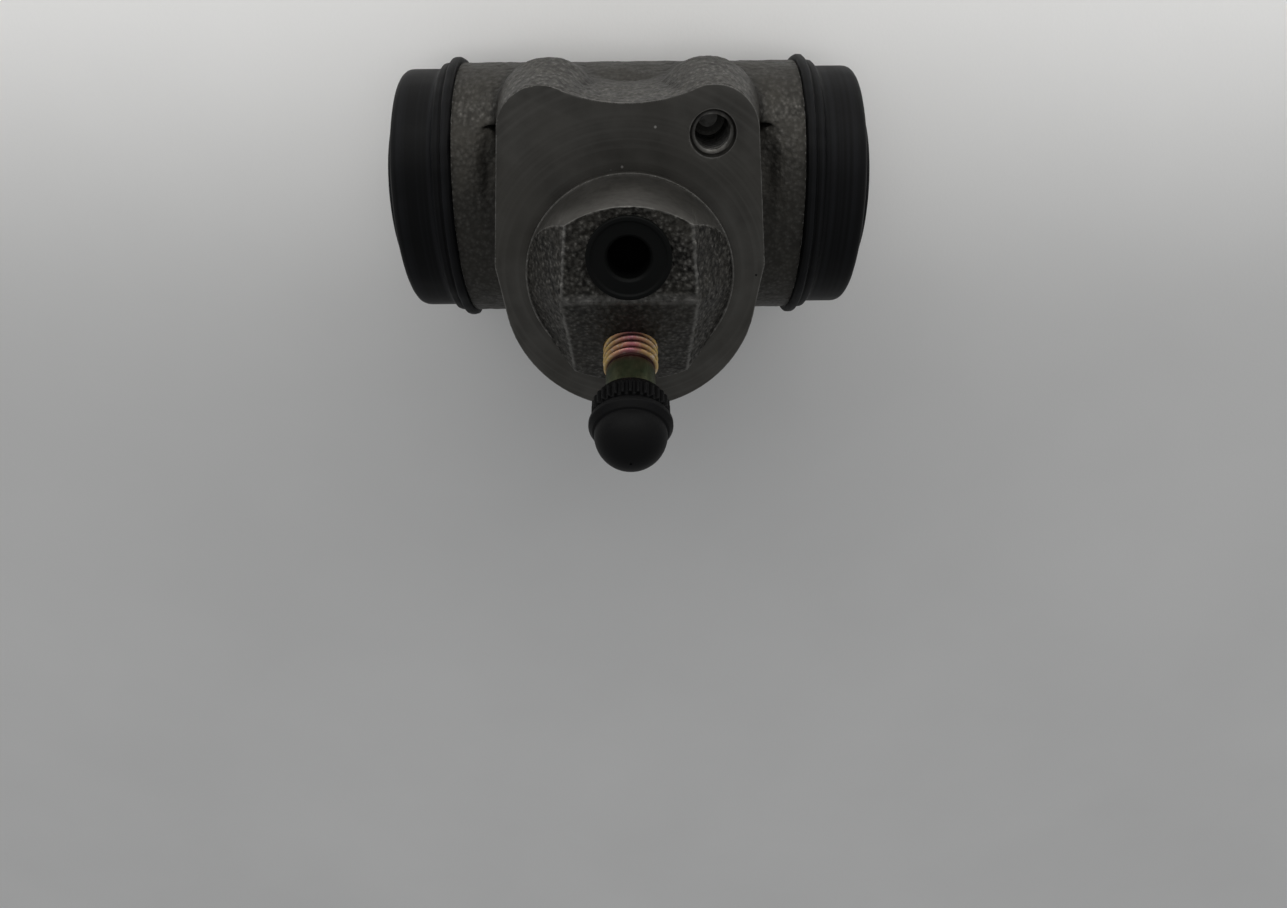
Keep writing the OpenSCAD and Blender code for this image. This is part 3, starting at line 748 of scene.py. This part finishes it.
def casting():
    """The body as cast and machined: crisp where a tool cut it, rounded and rough where it was cast."""
    points, triangles = solid_mesh("cylinder_body")
    creases = crease_points(points, triangles)
    points, triangles = refined(points, triangles, FINE_EDGE, lambda middle: edge_limit(middle, creases))
    machined = machined_faces(points[triangles].mean(1), face_normals(points, triangles))
    held = np.zeros(len(points), bool)
    held[triangles[machined]] = True
    edges, sides, convex = sharp_edges(points, triangles)
    cut = machined[sides].any(1)
    high = on_boss(points)[edges].all(1)
    corner = distance_to(points, points[edges[~convex & ~cut].ravel()], FILLET_REACH)
    shoulder = distance_to(points, points[edges[convex & ~cut & ~high].ravel()], FILLET_REACH)
    ridge = distance_to(points, points[edges[convex & ~cut & high].ravel()], SOFT_REACH)
    smooth = melted(points + run_out(points), triangles, held, (
        (FILLET_REACH, FILLET_ROUNDS, np.minimum(corner, shoulder)),
        (FILLET_REACH, MELT_ROUNDS, shoulder), (SOFT_REACH, SOFT_ROUNDS, ridge)))
    normals = point_normals(smooth, triangles)
    x, y, z = smooth.T
    boss = on_boss(smooth)
    facet = fade(normals[:, 1], *FACET_DOWN) * boss
    lobe = fade(-normals[:, 1], *LOBE_UP) * fade(-z, LOBE_FROM, LOBE_DEEP)
    lobe = lobe * fade(-y, -RELIEF_TOP - 2, -RELIEF_TOP)
    coarse = np.where(boss, 1.0, PLAIN_COARSE + LOBE_COARSE * lobe) * (1 - FACET_SMOOTH * facet)
    rim = np.zeros(len(smooth))
    rim[edges[convex & cut]] = 1
    rise = LONG_WAVE_H * waves(smooth, LONG_WAVE) + SHORT_WAVE_H * waves(smooth, SHORT_WAVE, 2) * coarse
    lumps = np.where(boss & (np.abs(normals[:, 0]) > FLANK_ACROSS), FLANK_PEBBLE_H, PEBBLE_H)
    rise = (rise + lumps * pebbles(smooth, PEBBLE) * coarse) * ~held - BLUNTED * rim
    points = thread_room(smooth + normals * rise[:, None], smooth)
    pilot = held & (np.abs(np.hypot(x, y) - PILOT_R) < LAND_STEP) & (z > 0.1)
    brow = brow_distance(smooth, edges[convex & ~cut])
    # Painted highlights along the edges and the pilot's base circle, and painted light on the lobe walls that face
    # the light.
    painted_highlight = np.max((rim, RIDGE_HIGHLIGHT * fade(ridge, *RIDGE), BROW_HIGHLIGHT * fade(brow, BROW_CORE, BROW),
                   PILOT_HIGHLIGHT * pilot, LOBE_HIGHLIGHT * lobe), axis=0)
    obj = mesh_object("casting", points, triangles.tolist())
    set_values(obj, "machined", machined, "FACE")
    set_values(obj, "coarse", coarse)
    set_values(obj, "painted_highlight", painted_highlight)
    # Painted shade in the reliefs and the cast corners, kept off the machined faces.
    set_values(obj, "painted_shade", painted_shade_at(smooth, corner) * ~held)
    thinned(obj, CAST_TRIANGLES)
    shaded(obj, crease_deg=38)
    obj.data.materials.append(IRON)
    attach(obj, "housing")
    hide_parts("cylinder_body")
    return obj


# The thread in the fixing hole

FIXING_PITCH = 1.25
FIXING_MINOR_R = 2.46
FIXING_MAJOR_R = 3.05
FIXING_FLOOR_R = 1.75
FIXING_MOUTH_R = 3.25
FIXING_MOUTH_DEEP = 0.75
FIXING_DEEP = 11.0
FIXING_TIP = 1.25
FIXING_ROOT = 0.12
SLEEVE_R = 3.45
THREAD_STEP = 0.08
THREAD_CREST = 0.2


def fixing_thread():
    segments = 72
    turn = np.arange(segments) / segments
    depth = np.arange(FIXING_MOUTH_DEEP, FIXING_DEEP + THREAD_STEP, THREAD_STEP)
    wave = thread_wave(depth[:, None] / FIXING_PITCH - turn[None, :], THREAD_CREST, FIXING_ROOT)
    thread = FIXING_MINOR_R + (FIXING_MAJOR_R - FIXING_MINOR_R) * wave
    opening = fade(depth - FIXING_MOUTH_DEEP, 0.0, 0.5)[:, None]
    cone = FIXING_MOUTH_R - (depth[:, None] - FIXING_MOUTH_DEEP + FIXING_MOUTH_DEEP * 0.4)
    thread = np.maximum(thread, cone * opening)
    top = turned(np.array((0, SLEEVE_R, SLEEVE_R, FIXING_MOUTH_R))[:, None], segments)
    top_depth = (FIXING_DEEP + 2 * FIXING_TIP, FIXING_DEEP + 2 * FIXING_TIP, 0.4, 0.0)
    tip = turned(np.array((FIXING_R, FIXING_FLOOR_R, FIXING_FLOOR_R - 0.1, 0.0))[:, None], segments)
    tip_depth = (FIXING_DEEP + 0.1, FIXING_DEEP + 0.5, FIXING_DEEP + 0.52, FIXING_DEEP + 0.52)
    radius = np.concatenate((top, thread, tip))
    height = -np.concatenate((top_depth, depth, tip_depth))
    obj = revolved("fixing_thread", radius, height, (0, 0, 1), FIXING * (1, 1, 0))
    place = places(obj) - FIXING * (1, 1, 0)
    out = np.hypot(place[:, 0], place[:, 1])
    floor = (out < FIXING_FLOOR_R) & (place[:, 2] > -FIXING_DEEP - 1)
    cut = (out < FIXING_MAJOR_R + 0.05) & (place[:, 2] > -FIXING_DEEP) & (place[:, 2] < -FIXING_MOUTH_DEEP)
    groove = np.clip((out - FIXING_MINOR_R) / (FIXING_MAJOR_R - FIXING_MINOR_R), 0, 1)
    set_values(obj, "machined", np.ones(len(place)))
    # Painted light in the hole: a painted highlight on the floor and the thread's crests, and painted shade in its
    # roots.
    set_values(obj, "painted_highlight", np.where(floor, 1.0, cut * (1 - groove)))
    set_values(obj, "painted_shade", cut * groove)
    shaded(obj, crease_deg=50)
    obj.data.materials.append(IRON)
    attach(obj, "housing")
    return obj


# Dust boots

BOOT_WALL_R = 19.15
BOOT_SHOULDER = BARREL_END + 9.6
NOSE_R = 13.0
ROD_HOLE_R = 6.2
BOOT_INSIDE = BOOT_SHOULDER - 1.5
NOSE_INSIDE = BOOT_NOSE - 1.5
SPIGOT_R = 17.0
SPIGOT_END = body_high[0]
GROOVE_FROM = BARREL_END + 0.95
GROOVE_TO = GROOVE_FROM + 2.1
GROOVE_R = SPIGOT_R - 0.95
BOOT_ROOM = SPIGOT_END + 0.3
NOISE_RING_R = 2.2
NOISE_RING_X = 3.0
BEAD_UNEVEN = 0.26
BEAD_SHIFT = 0.16
WALL_UNEVEN = 0.05


def boot_section():
    """Section of a boot, as a loop of radius and distance from the bore's middle."""
    start = BARREL_END + 0.02
    return rounded([
        (SPIGOT_R + 0.05, start, 0), (BEAD_R, start, 0.55), (BEAD_R - 0.05, start + 1.35, 0.55),
        (BEAD_R - 1.0, start + 1.6, 0.25), (BEAD_R - 0.85, start + 2.0, 0.4),
        (BEAD_R - 0.95, start + 2.8, 0.6), (BOOT_WALL_R, start + 3.3, 0.8), (BOOT_WALL_R, BOOT_SHOULDER, 1.7),
        (NOSE_R + 0.5, BOOT_SHOULDER, 0.7), (NOSE_R, BOOT_NOSE, 1.0), (ROD_HOLE_R, BOOT_NOSE, 0.5),
        (ROD_HOLE_R, NOSE_INSIDE, 0.3), (NOSE_R - 1.5, NOSE_INSIDE, 0.4), (NOSE_R - 1.5, BOOT_INSIDE, 0.3),
        (BORE_R, BOOT_INSIDE, 0.2), (BORE_R, BOOT_ROOM, 0.2), (SPIGOT_R + 0.05, BOOT_ROOM, 0.2),
        (SPIGOT_R + 0.05, GROOVE_TO, 0.1), (GROOVE_R, GROOVE_TO, 0.15), (GROOVE_R, GROOVE_FROM, 0.15),
        (SPIGOT_R + 0.05, GROOVE_FROM, 0)])


def dust_boot(end, side):
    segments = 180
    section = spread(boot_section(), 0.6)
    radius = turned(section, segments)
    turn = TAU * np.arange(segments) / segments
    rim = 1 - fade(section[:, 0], BOOT_WALL_R + 0.15, BOOT_WALL_R + 0.8)
    outer = (section[:, 0] > BOOT_WALL_R - 3) & (section[:, 1] < BOOT_SHOULDER + 0.2)
    ring = [(NOISE_RING_R * math.cos(t), NOISE_RING_R * math.sin(t), side * NOISE_RING_X) for t in turn]
    uneven = waves(ring, 0.8, 3)
    shift = waves(ring, 0.5, 2)
    radius = radius - BEAD_UNEVEN * np.abs(uneven)[None, :] * rim[:, None]
    radius = radius - WALL_UNEVEN * (1 + shift)[None, :] * outer[:, None]
    height = section[:, 1][:, None] + BEAD_SHIFT * np.maximum(shift, 0)[None, :] * rim[:, None]
    obj = revolved(f"{end}_boot", radius, height, (side, 0, 0), BORE, loop=True)
    shaded(obj, crease_deg=55)
    obj.data.materials.append(BOOT_RUBBER)
    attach(obj, "housing")
    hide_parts(f"{end}_dust_boot")
    return obj


# The bleed screw and its cap, in distances from the facet along the screw

SCREW_R = 3.95
SCREW_PITCH = 1.25
SCREW_ROOT_R = 3.28
SCREW_ROOT = 0.14
SCREW_SHOW = 5.1
SCREW_BELOW = 11.4
SEAT = -13.85
SEAT_TIP_R = 1.55
SHANK_R = 3.5
HEX_FROM = 12.4
HEX_TO = 16.0
HEX_HALF = 3.5
NIPPLE_R = 3.0
NIPPLE_NECK_R = 2.4
SCREW_TOP = 19.4
BLEED_HOLE_R = 1.0


def bleed_screw():
    segments = 96
    turn = np.arange(segments) / segments
    flat = np.mod(turn * 6, 1.0) - 0.5
    hexagon = HEX_HALF / np.cos(flat * TAU / 6)
    along = np.arange(-SCREW_BELOW, SCREW_SHOW - 0.25, THREAD_STEP)
    wave = thread_wave(along[:, None] / SCREW_PITCH - turn[None, :], THREAD_CREST, SCREW_ROOT)
    ends = np.minimum(1 - fade(along + SCREW_BELOW, 0, 1.0), 1 - fade(SCREW_SHOW - 0.3 - along, 0.0, 0.7))
    thread = SCREW_ROOT_R + (SCREW_R - SCREW_ROOT_R) * wave * ends[:, None]
    below = rounded([(0, SEAT - 2.4, 0), (SEAT_TIP_R, SEAT - 2.4, 0.2), (SCREW_ROOT_R - 0.1, SEAT - 0.6, 0.3),
                     (SCREW_ROOT_R - 0.1, -SCREW_BELOW - 0.2, 0)])
    shank = rounded([(SCREW_ROOT_R, SCREW_SHOW - 0.2, 0), (SHANK_R, SCREW_SHOW + 0.1, 0.15),
                     (SHANK_R, HEX_FROM - 0.05, 0)])
    above = rounded([(NIPPLE_NECK_R + 0.4, HEX_TO + 0.02, 0), (NIPPLE_NECK_R, HEX_TO + 0.15, 0.1),
                     (NIPPLE_NECK_R, HEX_TO + 1.1, 0.2), (NIPPLE_R, HEX_TO + 1.7, 0.25),
                     (NIPPLE_NECK_R, SCREW_TOP, 0.3), (BLEED_HOLE_R, SCREW_TOP, 0.15),
                     (BLEED_HOLE_R, SCREW_TOP - 6, 0), (0, SCREW_TOP - 6.5, 0)])
    chamfer = np.minimum(hexagon, HEX_HALF + 0.1)
    hex_rows = np.stack((chamfer, hexagon, hexagon, chamfer))
    hex_along = (HEX_FROM, HEX_FROM + 0.35, HEX_TO - 0.35, HEX_TO)
    shank = spread(shank, 1.0)
    radius = np.concatenate((turned(below, segments), thread, turned(shank, segments), hex_rows,
                             turned(above, segments)))
    height = np.concatenate((below[:, 1], along, shank[:, 1], hex_along, above[:, 1]))
    obj = revolved("bleed_screw", radius, height, BLEEDER_AXIS, BLEEDER)
    place = places(obj)
    set_values(obj, "thread", fade((place - BLEEDER) @ BLEEDER_AXIS, SCREW_SHOW - 0.1, SCREW_SHOW + 0.3))
    crest = (bleeder_distance(place) - SCREW_ROOT_R) / (SCREW_R - SCREW_ROOT_R)
    set_values(obj, "crest", np.clip(crest, 0, 1))
    shaded(obj, crease_deg=42)
    obj.data.materials.append(ZINC)
    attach(obj, "bleeder")
    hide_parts("bleeder_screw")
    return obj


CAP_FROM = 10.3
CAP_RING_FROM = CAP_FROM + 4.0
CAP_DOME_FROM = CAP_RING_FROM + 2.3
CAP_COLLAR_R = 5.4
CAP_RING_R = 5.75
CAP_DOME_R = 4.95
CAP_RIBS = 32
CAP_RIB_H = 0.42
CAP_BORE_R = 4.09
CAP_FLASH_TURN = math.radians(205)
CAP_FLASH_WIDE = 0.05
CAP_FLASH_LONG = 0.45
CAP_FLASH_H = 0.35


def bleeder_cap():
    segments = CAP_RIBS * 12
    turn = TAU * np.arange(segments) / segments
    dome = [(CAP_DOME_R * math.cos(a), CAP_DOME_FROM + CAP_DOME_R * math.sin(a), 0)
            for a in np.radians(np.arange(4, 91, 6))]
    wall = CAP_COLLAR_R - CAP_RIB_H
    section = spread(rounded([
        (0, HEX_TO + 3.45, 0), (NIPPLE_R + 0.1, HEX_TO + 3.45, 0.3), (NIPPLE_R + 0.1, HEX_TO + 0.05, 0.1),
        (CAP_BORE_R, HEX_TO + 0.05, 0.1), (CAP_BORE_R, CAP_FROM, 0.2), (CAP_COLLAR_R - 0.75, CAP_FROM, 0.25),
        (wall, CAP_FROM + 0.8, 0.4), (wall, CAP_RING_FROM - 0.8, 0.2),
        (wall - 0.3, CAP_RING_FROM - 0.5, 0.15), (wall - 0.3, CAP_RING_FROM - 0.15, 0.15),
        (CAP_RING_R - 0.3, CAP_RING_FROM, 0.15),
        (CAP_RING_R, CAP_RING_FROM + 0.35, 0.3), (CAP_RING_R, CAP_RING_FROM + 0.95, 0.4),
        (CAP_DOME_R + 0.25, CAP_DOME_FROM - 0.45, 0.2), (CAP_DOME_R - 0.05, CAP_DOME_FROM - 0.3, 0.1)]
        + dome, 4), 0.3)
    outside = np.zeros(len(section))
    outside[int(np.argmax(section[:, 1] <= CAP_FROM + 1e-6)) + 1:] = 1
    along = section[:, 1]
    above_rim = fade(CAP_FROM + 0.75 - along, -0.3, 0.1)
    below_ring = fade(along - CAP_RING_FROM + 0.85, -0.1, 0.2)
    ribbed = above_rim * below_ring * outside
    rib = np.clip(np.cos(turn * CAP_RIBS) * 0.9 + 0.3, 0, 1) ** 0.8
    radius = turned(section, segments) + CAP_RIB_H * ribbed[:, None] * rib[None, :]
    flash_round = np.exp(-((turn - CAP_FLASH_TURN) / CAP_FLASH_WIDE) ** 2)
    flash_along = np.exp(-((along - CAP_DOME_FROM + 0.2) / CAP_FLASH_LONG) ** 2)
    radius = radius + CAP_FLASH_H * (flash_round[None, :] * flash_along[:, None] * outside[:, None])
    obj = revolved("bleed_cap", radius, along, BLEEDER_AXIS, BLEEDER)
    shaded(obj, crease_deg=50)
    obj.data.materials.append(CAP_RUBBER)
    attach(obj, "bleeder_cover")
    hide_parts("bleeder_cap")
    return obj


# The plug in the inlet port

PLUG_R = 5.65
PLUG_STEM_R = 5.15
PLUG_DEEP = 3.7
PLUG_HOLE_R = 2.85
PLUG_FLANGE = 0.9


def port_plug():
    segments = 96
    section = spread(rounded([
        (0, -PLUG_DEEP, 0), (PLUG_STEM_R, -PLUG_DEEP, 0.3), (PLUG_STEM_R, 0.05, 0.05), (PLUG_R, 0.05, 0.15),
        (PLUG_R, PLUG_FLANGE, 0.22), (PLUG_R - 0.55, PLUG_FLANGE, 0.2),
        (PLUG_R - 0.8, PLUG_FLANGE - 0.25, 0.25), (PLUG_HOLE_R + 0.35, PLUG_FLANGE - 0.3, 0.3),
        (PLUG_HOLE_R, PLUG_FLANGE - 0.75, 0.3),
        (PLUG_HOLE_R - 0.1, 0.8 - PLUG_DEEP, 0.3), (0, 0.8 - PLUG_DEEP, 0)]), 0.4)
    mouth = (PORT[0], PORT[1], BOSS_TOP)
    obj = revolved("port_plug", turned(section, segments), section[:, 1], (0, 0, 1), mouth)
    place = places(obj) - mouth
    hollow = np.hypot(place[:, 0], place[:, 1]) < PLUG_HOLE_R + 0.02
    # Painted shade in the plug's hollow, full from 1.2 mm below the mouth down to its floor.
    set_values(obj, "deep", hollow * fade(place[:, 2], -1.2, 0.3))
    shaded(obj, crease_deg=50)
    obj.data.materials.append(PLUG_RUBBER)
    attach(obj, "port_plug")
    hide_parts("inlet_port_plug")
    return obj


# The return spring, as two halves

WIRE_R = 0.7
SPRING_R = 8.0
SPRING_TURNS = 6
DEAD_TURN = 1.47


def spring_height(t):
    """Height after t turns: one closed turn at each end, even pitch between."""
    span = 2 * (SPRING_HALF - WIRE_R)
    pitch = (span - 2 * DEAD_TURN) / (SPRING_TURNS - 2)
    middle = DEAD_TURN + (t - 1) * pitch
    last = span - (SPRING_TURNS - t) * DEAD_TURN
    return np.where(t < 1, t * DEAD_TURN, np.where(t > SPRING_TURNS - 1, last, middle))


def spring_half(end, side):
    steps, sides = 48, 14
    t = np.linspace(0, SPRING_TURNS / 2, steps * SPRING_TURNS // 2 + 1)
    if side > 0:
        t = t + SPRING_TURNS / 2
    rings = []
    around = TAU * np.arange(sides) / sides
    for turn, height in zip(t, spring_height(t)):
        a = turn * TAU
        out = np.array((0, math.cos(a), math.sin(a)))
        middle = BORE + out * SPRING_R + np.array((height - SPRING_HALF + WIRE_R, 0, 0))
        ring = np.cos(around)[:, None] * out + np.sin(around)[:, None] * np.array((1.0, 0, 0))
        rings.append(middle + WIRE_R * ring)
    faces = grid_faces(len(rings), sides)
    faces.append(list(range(sides)))
    faces.append([(len(rings) - 1) * sides + k for k in range(sides)])
    obj = closed_up(mesh_object(f"{end}_spring_half", np.concatenate(rings), faces))
    shaded(obj, crease_deg=60)
    obj.data.materials.append(SPRING_STEEL)
    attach(obj, "housing")
    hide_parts("return_spring")
    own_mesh(obj)
    return obj


def dress(node, material):
    """Gives a solid that shows as it is its material."""
    obj = frame["nodes"][node]
    obj.data.materials.clear()
    obj.data.materials.append(material)


# The scene

CAMERA_AT = (0.979, 48.831, 132.373)
CAMERA_AXES = (
    (0.999927, -0.006354, 0.010271),
    (0.010758, 0.855093, -0.518364),
    (-0.005489, 0.518436, 0.855099))
LENS = 25.734
SENSOR_WIDTH = 36
CLIP_START = 5.0
FLOOR_HALF = 1500
ROOM_DIM = 0.29
ROOM_BRIGHT = 0.45
ROOM_SIDES = (-0.5, 0.9)
ROOM_COLOUR = (0.97, 0.985, 1.0, 1)
WARM_WHITE = (1.0, 0.99, 0.97)
WINDOW_AT = (0, 720, 230)
WINDOW_AIM = (0, 0, -20)
WINDOW_SIZE = (1500, 280)
WINDOW_POWER = 2.8
LAMP_AT = (0, 75, 100)
LAMP_AIM = (0, 76, -46)
LAMP_SIZE = (400, 110)
LAMP_POWER = 0.07
LAMP_SPREAD_DEG = 60


def camera():
    data = bpy.data.cameras.new("camera")
    data.lens = LENS
    data.sensor_width = SENSOR_WIDTH
    data.sensor_fit = "HORIZONTAL"
    data.clip_start = CLIP_START * MM
    obj = bpy.data.objects.new("camera", data)
    turn = Matrix(CAMERA_AXES).transposed().to_4x4()
    obj.matrix_world = Matrix.Translation(Vector(CAMERA_AT) * MM) @ turn
    bpy.context.scene.collection.objects.link(obj)
    bpy.context.scene.camera = obj


def area_light(name, place, target, size, power, spread_deg=180):
    data = bpy.data.lights.new(name, "AREA")
    data.shape = "RECTANGLE"
    data.size, data.size_y = (v * MM for v in size)
    data.energy = power
    data.color = WARM_WHITE
    data.spread = math.radians(spread_deg)
    obj = bpy.data.objects.new(name, data)
    obj.location = Vector(place) * MM
    aim = Vector(target) * MM - obj.location
    obj.rotation_euler = aim.to_track_quat("-Z", "Y").to_euler()
    bpy.context.scene.collection.objects.link(obj)
    return obj


def room():
    """Soft light from all round, brighter on the window's side and dim overhead."""
    world = bpy.data.worlds.new("room")
    world.use_nodes = True
    nodes, links = world.node_tree.nodes, world.node_tree.links
    split = nodes.new("ShaderNodeSeparateXYZ")
    links.new(nodes.new("ShaderNodeTexCoord").outputs["Generated"], split.inputs[0])
    ramp = nodes.new("ShaderNodeMapRange")
    links.new(split.outputs[1], ramp.inputs["Value"])
    ramp.inputs["From Min"].default_value, ramp.inputs["From Max"].default_value = ROOM_SIDES
    ramp.inputs["To Min"].default_value = ROOM_DIM
    ramp.inputs["To Max"].default_value = ROOM_BRIGHT
    links.new(ramp.outputs[0], nodes["Background"].inputs["Strength"])
    nodes["Background"].inputs["Color"].default_value = ROOM_COLOUR
    bpy.context.scene.world = world


def studio():
    """The floor and the lights; the lamp lights the floor alone."""
    corners = [(sx * FLOOR_HALF, sy * FLOOR_HALF, FLOOR_Z) for sx, sy in ((-1, -1), (1, -1), (1, 1), (-1, 1))]
    floor = mesh_object("floor", corners, [(0, 1, 2, 3)])
    floor.data.materials.append(pale_floor())
    area_light("window", WINDOW_AT, WINDOW_AIM, WINDOW_SIZE, WINDOW_POWER)
    lamp = area_light("floor_lamp", LAMP_AT, LAMP_AIM, LAMP_SIZE, LAMP_POWER, LAMP_SPREAD_DEG)
    lit = bpy.data.collections.new("lit_by_floor_lamp")
    lit.objects.link(floor)
    lamp.light_linking.receiver_collection = lit
    lamp.visible_camera = False
    room()
    bpy.context.scene.view_settings.view_transform = "Standard"


IRON = cast_iron()
BOOT_RUBBER = rubber("boot_rubber", (0.0024, 0.0025, 0.0028), roughness=0.46, grain=0.012, flow=0.7)
CAP_RUBBER = rubber("cap_rubber", (0.003, 0.003, 0.0032), roughness=0.46, grain=0.02)
PLUG_RUBBER = rubber("plug_rubber", (0.0026, 0.0029, 0.0027), roughness=0.5, grain=0.02)
CUP_RUBBER = rubber("cup_rubber", (0.003, 0.003, 0.003), roughness=0.4, grain=0.01)
ZINC = yellow_zinc()
ALUMINIUM = bright_metal("piston_aluminium", (0.6, 0.6, 0.61), mark_size=0.15)
SPRING_STEEL = bright_metal("spring_steel", (0.4, 0.4, 0.42), mark_size=0.1)

camera()
studio()
casting()
fixing_thread()
bleed_screw()
bleeder_cap()
port_plug()
for end, side in SIDES.items():
    dust_boot(end, side)
    spring_half(end, side)
    dress(f"{end}_piston", ALUMINIUM)
    dress(f"{end}_cup_seal", CUP_RUBBER)
    dress(f"{end}_cup_expander", SPRING_STEEL)
